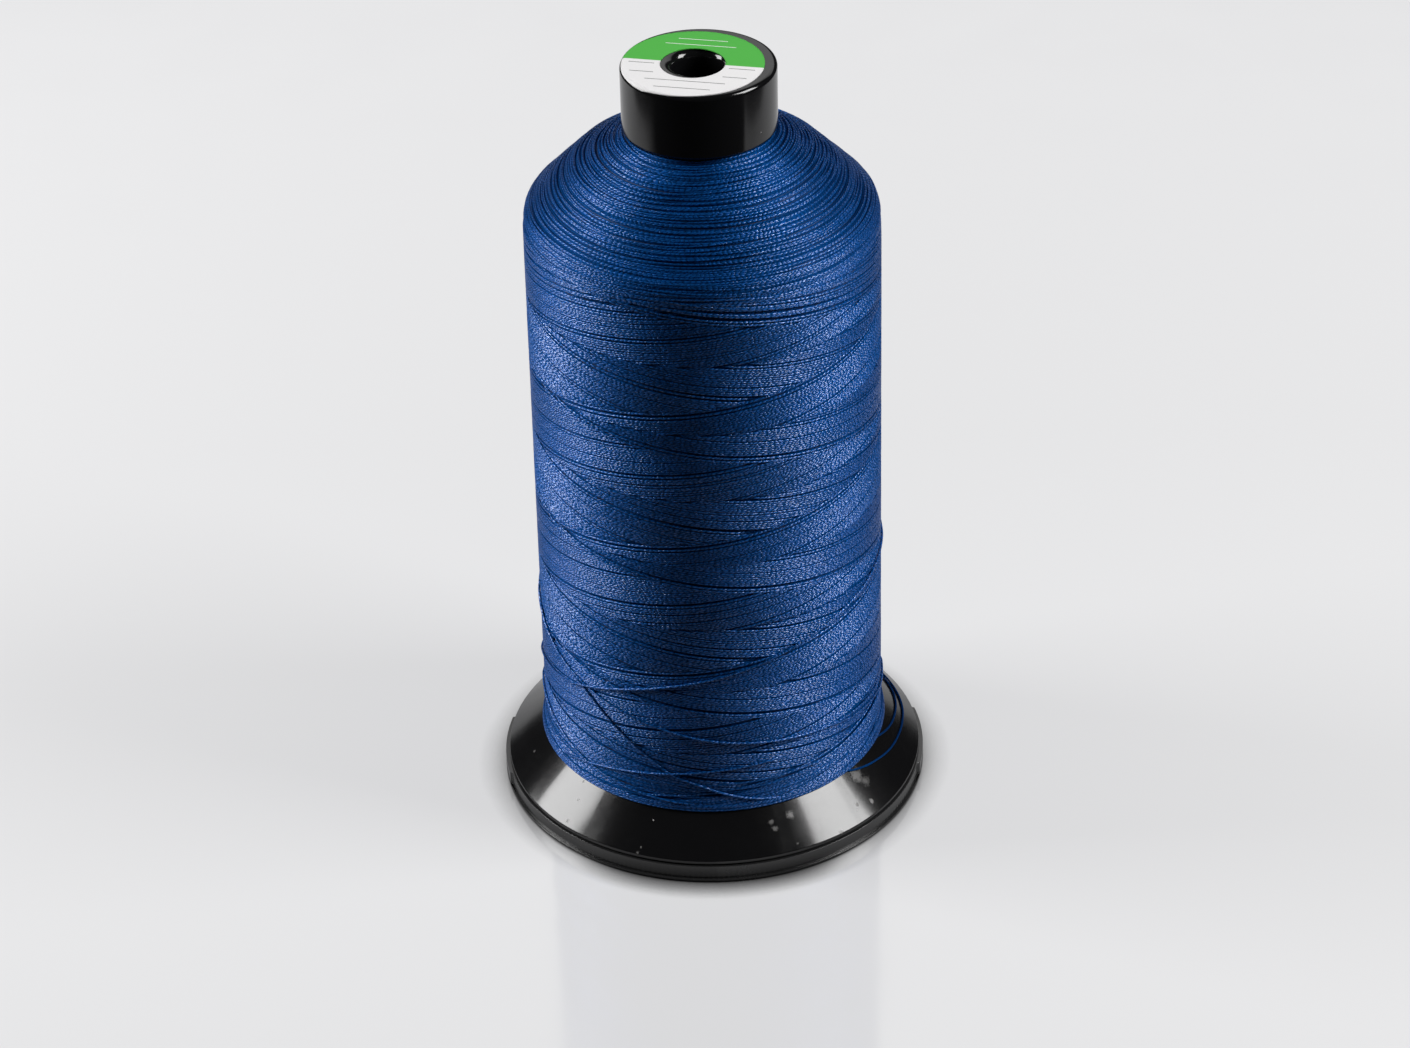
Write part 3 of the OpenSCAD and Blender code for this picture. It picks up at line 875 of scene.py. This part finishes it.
# Gaps between groups of strokes, in widths of a stroke, and the least and most that follow
# the first stroke of a group
GROUP_GAPS = [0.5, 0.8, 1.3, 1.9]
GROUP_LEAST, GROUP_MOST = 3, 7


def stroke_shifts(settings, rng):
    """How far each double stroke lies to the right of the newest one, as an angle.

    The threads lie in small groups with a gap between groups.
    """
    widths, left = [], 0
    for _ in range(settings.strokes):
        gap = rng.choice(GROUP_GAPS) if left == 0 else 0.0
        left = rng.integers(GROUP_LEAST, GROUP_MOST + 1) if left == 0 else left - 1
        widths.append(rng.uniform(0.96, 1.02) + gap)
    widths = np.array(widths) / sum(widths) * 2 * pi
    return np.concatenate([[0], np.cumsum(widths)])[:-1]


TURNS_IN_STROKE = 4
# Turns over which a stroke rounds its reversal, lies in the order of age, and slips
REVERSAL_TURNS, END_TURNS, SLIP_TURNS = 30 / 360, 0.12, 0.2
# A thread that passes under another: its depth in diameters and its painted shade
UNDER, UNDER_SHADE = 0.98, 0.7
# Angle from the newest stroke to the place where the next one would lie
NEWEST_STEP = 0.09
# How far strokes slip at the flange and at the shoulder, and wander on the way
LOW_SLIP, HIGH_SLIP, WANDER = 0.3 * MM, 0.35 * MM, 0.045 * MM


def winding_line(settings, outline):
    """The middle line of the outer layer: strokes up and down, laid one beside the other.

    A stroke climbs a whole number of turns between its reversals, so each new double
    stroke lies just left of the last. Where strokes up and strokes down cross, the
    newer of the two lies on top. A fourth column holds the thread's painted shade,
    dark where it lies under another, with a little random tone.
    """
    rng = np.random.default_rng(settings.seed)
    shifts = stroke_shifts(settings, rng)
    diameter, lead, steps = settings.diameter, settings.lead, settings.steps
    count = 2 * TURNS_IN_STROKE * steps
    share_done = np.arange(count) / count
    # Distance from the nearer reversal, in turns, and the way that the stroke goes
    travel = share_done * 2 * TURNS_IN_STROKE
    climbing = travel < TURNS_IN_STROKE
    low_run = np.minimum(travel, 2 * TURNS_IN_STROKE - travel)
    high_run = np.abs(travel - TURNS_IN_STROKE)
    rise = low_run * lead
    rounding = np.maximum(0, REVERSAL_TURNS - low_run) ** 2 / (2 * REVERSAL_TURNS) * lead
    rounding -= np.maximum(0, REVERSAL_TURNS - high_run) ** 2 / (2 * REVERSAL_TURNS) * lead
    near_end = np.exp(-((np.minimum(low_run, high_run) / END_TURNS) ** 2))
    climb = rise / lead * 4 * pi
    chains = []
    for age in range(settings.strokes - 1, -1, -1):
        shift = shifts[age]
        after = shifts[age - 1] if age else shift - NEWEST_STEP
        advance = 2 * TURNS_IN_STROKE * 2 * pi - (shift - after)
        low_slip, high_slip = np.abs(rng.normal(0, LOW_SLIP)), rng.normal(0, HIGH_SLIP)
        slip = low_slip * np.exp(-((low_run / SLIP_TURNS) ** 2))
        slip = slip + high_slip * np.exp(-((high_run / SLIP_TURNS) ** 2))
        wander = WANDER * drifting(rng, count, steps // 3)
        run = settings.low_end + rise + rounding + slip + wander
        bearing = settings.bearing + shift + share_done * advance
        # Age of the crossing stroke of the other family, as an angle
        other = np.where(climbing, shift + climb, shift - climb) % (2 * pi)
        on_top = other > shift
        depth = np.where(on_top, 0.0, UNDER)
        depth = depth * (1 - near_end) + near_end * (0.05 + 0.9 * age / settings.strokes)
        # Painted shade on a thread that passes under the crossing stroke
        shade = np.where(on_top, 0.0, UNDER_SHADE) * (1 - near_end)
        shade = shade + 0.07 * np.abs(drifting(rng, count, steps // 2))
        chains.append(shaded(outline.points(run, bearing, -diameter * (0.5 + depth)), shade))
    return np.concatenate(chains)


# Sets of turns above the flange: height of the first in mm, rise in a turn in mm, turns,
# painted shade, and whether the set weaves through the strokes
FOOT_SETS = ((11.2, 0.36, 3, 0.15, False), (12.5, 0.95, 4, 0.6, True), (13.2, 1.4, 3, 0.35, True))
# How deep a thread's ends dive into the layer, in diameters, and over how many turns
DIVE, DIVE_TURNS = 1.2, 0.15


def foot_lines(settings, outline):
    """Nearly level turns that lie just above the flange, where the strokes turn back."""
    rng = np.random.default_rng(settings.seed + 2)
    diameter, steps = settings.diameter, settings.steps
    chains = []
    for low, rise, turns, shade, weaves in FOOT_SETS:
        count = turns * steps
        done = np.arange(count) / steps
        tilt = rng.uniform(0.3, 0.7) * MM * (1 + np.sin(2 * pi * done + rng.uniform(0, 2 * pi)))
        wander = 0.16 * MM * np.abs(drifting(rng, count, steps // 4))
        run = low * MM + rise * MM * done + (tilt if weaves else 0) + wander
        out = np.full(count, 0.1 * MM - diameter / 2)
        if weaves:
            # It dives under the crossing strokes and comes out again
            out = out + diameter * (0.35 * drifting(rng, count, steps // 5) - 0.1)
            out = out - diameter * DIVE * (1 - out_of_ends(done, turns, DIVE_TURNS))
        points = outline.points(run, done * 2 * pi + rng.uniform(0, 2 * pi), out)
        chains.append(shaded(points, shade + 0.1 * np.abs(drifting(rng, count, steps // 4))))
    return chains


# A family of turns on the shoulder. Its pitch, how uneven that is, where it ends along the
# outline and the size of its wander are in mm, and its lift is in diameters. Closes says
# whether its turns lie closer low down, bends is how many the wander has in a round, then
# comes how much painted shade darkens its threads, sink is how fast the family goes under,
# and sway is the size of the waves that its turns share.
Family = namedtuple("Family", "pitch uneven end closes wander bends lift tint sink sway")
# One closed family, darkened by painted shade, and two open ones that lie over it
SHOULDER_FAMILIES = (
    Family(0.44, 0.02, 122.0, False, 0.03, 3, -0.5, 0.6, 0.07, 1.0),
    Family(0.87, 0.1, 124.6, True, 0.12, 7, 0.0, 0.0, 0.3, 1.2),
    Family(0.95, 0.2, 124.6, True, 0.16, 6, 0.16, 0.0, 0.3, 2.4),
)
# Waves that a family's turns share: how many in a round, and their size in mm
SHOULDER_WAVES = ((1, 0.2), (2, 0.12), (3, 0.1), (5, 0.05))
# Along the outline, in mm: where the open families start to lie closer, and where all sink
CLOSER_BELOW, SUNK_BELOW = 128.6, 127.2


def shoulder_levels(rng, top, family):
    """Where each turn of a family lies along the outline, from the neck down."""
    levels = [top]
    while levels[-1] > family.end * MM:
        close = 0.5 if family.closes and levels[-1] < CLOSER_BELOW * MM else 1.0
        pitch = rng.uniform(family.pitch - family.uneven, family.pitch + family.uneven)
        levels.append(levels[-1] - close * pitch * MM)
    return levels


def shoulder_family(rng, settings, outline, family):
    """One family of near-level turns that wander down the shoulder."""
    diameter, steps = settings.diameter, settings.steps
    top = outline.run[-1] - 0.1 * MM
    levels = shoulder_levels(rng, top, family)
    count = (len(levels) - 1) * steps
    turn = np.arange(count) / steps
    run = np.interp(turn, np.arange(len(levels)), levels)
    for waves, size in SHOULDER_WAVES:
        phase = rng.uniform(0, 2 * pi) + 0.9 * drifting(rng, count, 4 * steps)
        run = run + family.sway * size * MM * np.sin(2 * pi * waves * turn + phase)
    run = run + family.wander * MM * drifting(rng, count, steps // family.bends)
    out = diameter * (family.lift + 0.16 * drifting(rng, count, steps // family.bends))
    # No turn climbs past the neck
    run = run - 0.8 * np.maximum(0, run - top)
    sunk = np.maximum(0, (SUNK_BELOW * MM - run) / MM) * family.sink
    start = rng.uniform(0, 2 * pi)
    points = outline.points(run, turn * 2 * pi + start, out - diameter * (0.5 + sunk))
    # Painted shade of the family, with a little random tone
    shade = family.tint + 0.1 * np.abs(drifting(rng, count, steps // 9))
    shade = shade + 0.25 * np.abs(drifting(rng, count, 3))
    # Painted shade in the corner under the cap
    return shaded(points, shade + 0.8 * np.exp(-(outline.run[-1] - run).clip(0) / (0.5 * MM)))


def shoulder_lines(settings, outline):
    """The near-level turns that the shoulder shows.

    Two open families of turns wander over a closed one, so that threads go over and
    under each other in short lengths.
    """
    rng = np.random.default_rng(settings.seed + 1)
    return [shoulder_family(rng, settings, outline, family) for family in SHOULDER_FAMILIES]


def smooth_route(points, between):
    """A smooth curve through chosen points, as a Catmull-Rom spline."""
    p = np.asarray(points, float)
    p = np.concatenate([[2 * p[0] - p[1]], p, [2 * p[-1] - p[-2]]])
    t = np.arange(between)[:, None] / between
    pieces = []
    for a, b, c, d in zip(p[:-3], p[1:-2], p[2:-1], p[3:]):
        pieces.append(0.5 * (
            2 * b + (c - a) * t + (2 * a - 5 * b + 4 * c - d) * t**2 + (3 * b - a - 3 * c + d) * t**3
        ))
    return np.concatenate(pieces + [p[-2:-1]])


# Threads that slipped over the layer near the flange: bearing in degrees, height in mm
STRAY_ROUTES = {
    "steep": [
        (-96, 47), (-80, 41.2), (-64, 37.4), (-48, 33.6), (-32, 26.8), (-16, 19.9), (-5, 17.2),
        (8, 14.2), (24, 12.1),
    ],
    "long": [
        (-104, 26.2), (-80, 29.9), (-60, 32.2), (-48, 34.1), (-20, 39.2), (10, 43.9), (40, 49.0),
        (62, 51.6), (80, 53.6), (98, 56.5),
    ],
    "shallow": [
        (-96, 44.0), (-80, 40.6), (-52, 35.2), (-18, 30.0), (6, 27.2), (36, 25.2), (60, 24.0), (84, 22.9),
    ],
    "low_left": [(-98, 21.8), (-80, 20.5), (-64, 18.4), (-44, 15.4), (-24, 13.6), (-4, 12.6)],
    "low_rise": [(-62, 13.2), (-48, 15.6), (-30, 18.0), (-9, 20.0), (8, 21.2), (26, 22.0)],
    "low_right": [(36, 25.6), (50, 23.7), (64, 22.4), (80, 20.9), (98, 19.2)],
    "right_rise": [(30, 17.2), (46, 18.3), (64, 19.7), (82, 20.9), (98, 21.6)],
}
# They lie this high, in diameters, and dive into the layer over this share of their length
STRAY_HEIGHT, STRAY_DIVE = 0.55, 0.08
# The long one passes over the steep one: place and reach as shares of its length, and height
OVER_AT, OVER_REACH, OVER_HEIGHT = 0.28, 0.1, 0.9
ROUTE_STEPS = 14


def stray_lines(settings, outline):
    """The middle lines of the slipped threads, which dive into the layer at both ends."""
    diameter = settings.diameter
    chains = []
    for name, route in STRAY_ROUTES.items():
        route = [(radians(bearing), height * MM) for bearing, height in route]
        route = smooth_route(route, ROUTE_STEPS)
        share_done = np.linspace(0, 1, len(route))
        ends = out_of_ends(share_done, 1, STRAY_DIVE)
        over = (name == "long") * np.exp(-(((share_done - OVER_AT) / OVER_REACH) ** 2))
        out = diameter * (STRAY_HEIGHT + OVER_HEIGHT * over) * ends - diameter * DIVE * (1 - ends)
        chains.append(shaded(outline.points(route[:, 1], route[:, 0], out), np.zeros(len(route))))
    return chains


# ---------------------------------------------------------------- slack turns

# The routes of the two slack turns on the flange: radius in mm and bearing in degrees
SLACK_ROUTES = {
    "slack_turn_a": [
        (32.4, 65), (33.3, 67.5), (34.1, 71), (34.8, 75), (35.4, 79), (35.9, 83), (36.3, 87),
        (36.7, 91), (37.1, 95), (37.4, 99), (37.6, 103), (37.7, 107), (37.6, 111), (37.3, 115),
        (36.7, 119), (35.9, 123), (34.9, 126.5), (33.8, 129.5), (32.4, 132),
    ],
    "slack_turn_b": [
        (32.4, 44), (33.4, 47), (34.3, 50.5), (35, 54.5), (35.6, 59), (36.1, 63.5), (36.6, 68),
        (37, 72.5), (37.3, 77), (37.6, 81.5), (37.9, 86), (38.2, 90.5), (38.5, 95), (38.7, 99.5),
        (38.8, 104), (38.8, 108.5), (38.6, 113), (38.2, 117.5), (37.5, 122), (36.5, 126.5),
        (35.3, 130.5), (33.9, 134), (32.4, 136.5),
    ],
}
# The slack turns' sides and steps, and the painted shade that darkens them
SLACK_SIDES, SLACK_STEPS, SLACK_SHADE = 12, 3, 0.85


def slack_points(route):
    """The route's points on the flange, with a point between each two."""
    on = [on_flange(bearing, radius, SLACK_D / 2 / cos(FLANGE_SLOPE)) for radius, bearing in route]
    points = []
    for i, point in enumerate(on):
        points.append(point)
        if 0 < i < len(on) - 2:
            points.append((9 * (point + on[i + 1]) - on[i - 1] - on[i + 2]) / 16)
    return np.array(points)


class SPOOL_OT_slack_turns(bpy.types.Operator):
    """Lays the two slack turns of thread on the flange"""

    bl_idname = "spool.slack_turns"
    bl_label = "Slack turns"

    def execute(self, context):
        settings = context.scene.spool_thread
        finish = thread_finish("slack_thread", settings)
        for node, route in SLACK_ROUTES.items():
            path = slack_points(route)
            name = node.replace("slack_turn", "slack_thread")
            line = smooth_route(path, SLACK_STEPS)
            line = shaded(line, np.full(len(line), SLACK_SHADE))
            piece = threads(name, [line], SLACK_D, SLACK_SIDES, finish)
            seat(piece, "spool", "slack_thread", node)
        return {"FINISHED"}


# ---------------------------------------------------------------- winding

class SPOOL_OT_winding(bpy.types.Operator):
    """Winds the thread: packed core, outer layer, shoulder, foot turns and slipped threads"""

    bl_idname = "spool.winding"
    bl_label = "Winding"

    PARTS = 4
    STRAY_SIDES = 8
    # The core: steps round it, its depth under the outline in diameters, and the share of a
    # radius at which it closes inside the barrel's wall
    CORE_STEPS, CORE_INSET, CORE_CLOSE = 192, 1.3, 0.98

    def execute(self, context):
        settings = context.scene.spool_thread
        outline = Outline()
        finish = thread_finish("wound_thread", settings)
        self.add_core(settings, outline)
        line = winding_line(settings, outline)
        cuts = np.linspace(0, len(line) - 1, self.PARTS + 1).astype(int)
        layers = [
            (f"outer_winding_{part + 1}", [line[first:last + 1]], settings.sides)
            for part, (first, last) in enumerate(zip(cuts[:-1], cuts[1:]))
        ]
        layers += [
            ("shoulder_winding", shoulder_lines(settings, outline), settings.sides),
            ("foot_turns", foot_lines(settings, outline), settings.sides),
            ("slipped_threads", stray_lines(settings, outline), self.STRAY_SIDES),
        ]
        for name, chains, sides in layers:
            piece = threads(name, chains, settings.diameter, sides, finish)
            seat(piece, "spool", "thread", *(["outer_turns"] if name == "outer_winding_1" else []))
        return {"FINISHED"}

    def add_core(self, settings, outline):
        """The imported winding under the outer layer, closed on the barrel."""
        run = np.concatenate([outline.run[::8], outline.run[-1:]])
        side = outline.points(run, 0.0, -settings.diameter * self.CORE_INSET)
        section = [(-point[1], point[2]) for point in side]
        low_r, (top_r, top_z) = section[0][0], section[-1]
        section = [(NECK_R * self.CORE_CLOSE, flange_z(NECK_R)), (low_r, flange_z(low_r))] + section[1:]
        section.append((top_r * self.CORE_CLOSE, top_z - 0.2 * MM))
        turns = [2 * pi * step / self.CORE_STEPS for step in range(self.CORE_STEPS)]
        rounds = [[(r * cos(turn), r * sin(turn), z) for r, z in section] for turn in turns]
        piece = closed_shell("packed_core", rounds)
        piece.data.materials.append(packed_thread("packed_thread", settings))
        seat(piece, "spool", "thread", "thread_package")


# ---------------------------------------------------------------- mouldings

def rounded_copy(node, name, edge, finish):
    """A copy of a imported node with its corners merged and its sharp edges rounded."""
    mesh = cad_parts[node].data.copy()
    work = bmesh.new()
    work.from_mesh(mesh)
    bmesh.ops.remove_doubles(work, verts=work.verts, dist=0.002 * MM)
    bmesh.ops.dissolve_limit(work, angle_limit=radians(0.2), verts=work.verts, edges=work.edges)
    for face in work.faces:
        face.smooth = True
    work.to_mesh(mesh)
    work.free()
    mesh.materials.clear()
    mesh.materials.append(finish)
    for polygon in mesh.polygons:
        polygon.material_index = 0
    host = new_object(name + "_plain", mesh)
    round_edges = host.modifiers.new("Round edges", "BEVEL")
    round_edges.width = edge
    round_edges.segments = 2
    round_edges.limit_method = "ANGLE"
    round_edges.angle_limit = radians(28)
    round_edges.harden_normals = False
    even = host.modifiers.new("Even shading", "WEIGHTED_NORMAL")
    even.keep_sharp = False
    return baked(host, name)


class SPOOL_OT_mouldings(bpy.types.Operator):
    """Finishes the barrel, the cap and the base"""

    bl_idname = "spool.mouldings"
    bl_label = "Mouldings"

    def execute(self, context):
        settings = context.scene.spool_mouldings
        barrel = moulded_plastic(
            "gloss_black_barrel", settings.gloss_black, settings.barrel_roughness,
            variation=0.05, wave=1.0, flecks=FLANGE_FLECKS,
        )
        cap = moulded_plastic(
            "gloss_black_cap", settings.gloss_black, settings.cap_roughness,
            variation=0.04, wave=0.6, dust_amount=0.006,
        )
        base = moulded_plastic(
            "satin_black_base", settings.satin_black, settings.base_roughness,
            variation=0.08, wave=0.3, dust_scale=600.0, shine=0.8,
        )
        for node, name, body, slot, finish in (
            ("spool_barrel", "barrel_moulding", "spool", "barrel_plastic", barrel),
            ("top_cap", "cap_moulding", "spool", "cap_plastic", cap),
            ("snap_base", "base_moulding", "base", "base_plastic", base),
        ):
            seat(rounded_copy(node, name, settings.edge, finish), body, slot, node)
        return {"FINISHED"}


# ---------------------------------------------------------------- label

class SPOOL_OT_label(bpy.types.Operator):
    """Sticks the paper label on the cap"""

    bl_idname = "spool.label"
    bl_label = "Label"

    RINGS, SPOKES = 30, 144
    # The paper's cut edges have normals with less Z than this, and stay flat
    UPRIGHT = 0.3

    def execute(self, context):
        settings = context.scene.spool_label
        middle = (LABEL_LOW + LABEL_HIGH) / 2
        turns = [2 * pi * spoke / self.SPOKES for spoke in range(self.SPOKES)]
        sections = [self.section(middle, turn) for turn in turns]
        piece = closed_shell("label", sections, self.UPRIGHT)
        piece.data.materials.append(label_paper("label_paper", settings, middle))
        seat(piece, "spool", "label_paper", "top_label")
        return {"FINISHED"}

    def section(self, middle, turn):
        """The paper's section at a bearing: out along its lower face, back along the upper."""
        thick = LABEL_HIGH.z - LABEL_LOW.z
        width = (LABEL_HIGH.x - LABEL_LOW.x) / 2 - LABEL_HOLE_R
        radii = [LABEL_HOLE_R + width * ring / self.RINGS for ring in range(self.RINGS + 1)]
        low = [self.paper_point(middle, radius, turn, 0.0) for radius in radii]
        return low + [self.paper_point(middle, radius, turn, thick) for radius in reversed(radii)]

    def paper_point(self, middle, radius, turn, lift):
        """A point of the paper, lowered where it reaches past the cap's flat top."""
        x, y = middle.x + radius * cos(turn), middle.y + radius * sin(turn)
        past = max(0.0, sqrt(x * x + y * y) - (CAP_R - CAP_EDGE_ROUND))
        # It stops just short of the upright end of the rounding
        past = min(past, CAP_EDGE_ROUND * 0.98)
        drop = CAP_EDGE_ROUND - sqrt(CAP_EDGE_ROUND**2 - past**2)
        return x, y, CAP_TOP_Z + lift - drop


# ---------------------------------------------------------------- add-on

class SPOOL_PT_panel(bpy.types.Panel):
    """The spool's settings and steps"""

    bl_idname = "SPOOL_PT_panel"
    bl_label = "Thread spool"
    bl_space_type = "VIEW_3D"
    bl_region_type = "UI"
    bl_category = "Spool"

    def draw(self, context):
        for group_name in GROUPS:
            settings = getattr(context.scene, group_name)
            box = self.layout.box()
            for prop in settings.bl_rna.properties:
                if prop.identifier not in ("rna_type", "name"):
                    box.prop(settings, prop.identifier)
        for step in STEPS:
            self.layout.operator(step.bl_idname)


GROUPS = {
    "spool_thread": SPOOL_PG_thread,
    "spool_mouldings": SPOOL_PG_mouldings,
    "spool_label": SPOOL_PG_label,
    "spool_stage": SPOOL_PG_stage,
}
# In the order in which they run
STEPS = (
    SPOOL_OT_stage,
    SPOOL_OT_slack_turns,
    SPOOL_OT_winding,
    SPOOL_OT_mouldings,
    SPOOL_OT_label,
)


def register():
    for kind in (*GROUPS.values(), *STEPS, SPOOL_PT_panel):
        bpy.utils.register_class(kind)
    for name, kind in GROUPS.items():
        setattr(bpy.types.Scene, name, PointerProperty(type=kind))


def unregister():
    for name in GROUPS:
        delattr(bpy.types.Scene, name)
    for kind in (SPOOL_PT_panel, *reversed(STEPS), *reversed(GROUPS.values())):
        bpy.utils.unregister_class(kind)


def main():
    register()
    for step in STEPS:
        family, name = step.bl_idname.split(".")
        getattr(getattr(bpy.ops, family), name)()


if __name__ == "__main__":
    main()
